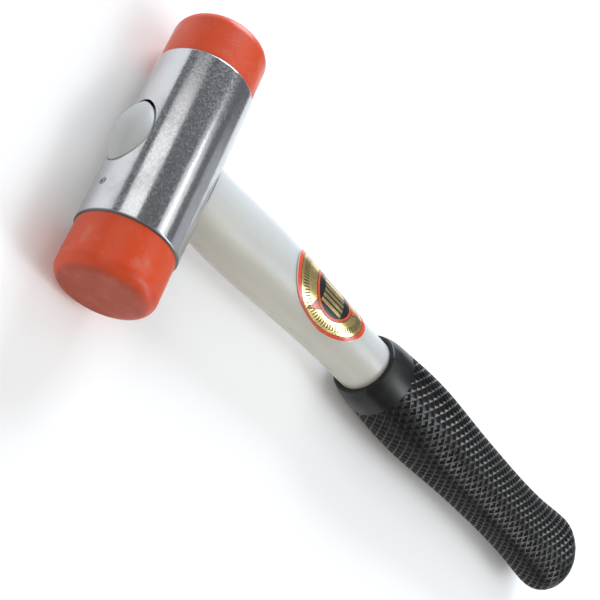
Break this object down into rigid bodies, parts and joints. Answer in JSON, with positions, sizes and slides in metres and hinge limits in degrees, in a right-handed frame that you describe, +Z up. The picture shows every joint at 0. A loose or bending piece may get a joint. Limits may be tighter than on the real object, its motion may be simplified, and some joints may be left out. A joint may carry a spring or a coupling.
{
  "type": "soft-face mallet",
  "caption": "Soft-face hand mallet: round plated steel head with replaceable plastic striking faces, a plastic handle through the head's eye, and a knurled rubber grip sleeve.",
  "frame": {"origin": "On the table under the middle of the mallet's length, as it lies on its side: the middle of the underside of the bounding box.", "axes": "+X runs along the handle from the head to the pommel, +Y along the head from the front face to the rear face, +Z up from the table."},
  "size_m": [0.2904, 0.0966, 0.032],
  "materials": {
    "plated_steel": "satin",
    "orange_plastic": "satin",
    "natural_nylon": "satin",
    "black_rubber": "satin",
    "label_foil": "gloss"
  },
  "bodies": {
    "mallet_body": {"head_body": "plated_steel", "handle": "natural_nylon", "grip_sleeve": "black_rubber", "foil_label": "label_foil"},
    "front_face": {"front_face": "orange_plastic"},
    "rear_face": {"rear_face": "orange_plastic"}
  },
  "joints": [
    {"name": "front_face_slide", "type": "slide", "parent": "mallet_body", "child": "front_face", "axis": [0, -1, 0], "range_m": [0, 0.02]},
    {"name": "rear_face_slide", "type": "slide", "parent": "mallet_body", "child": "rear_face", "axis": [0, 1, 0], "range_m": [0, 0.02]}
  ]
}
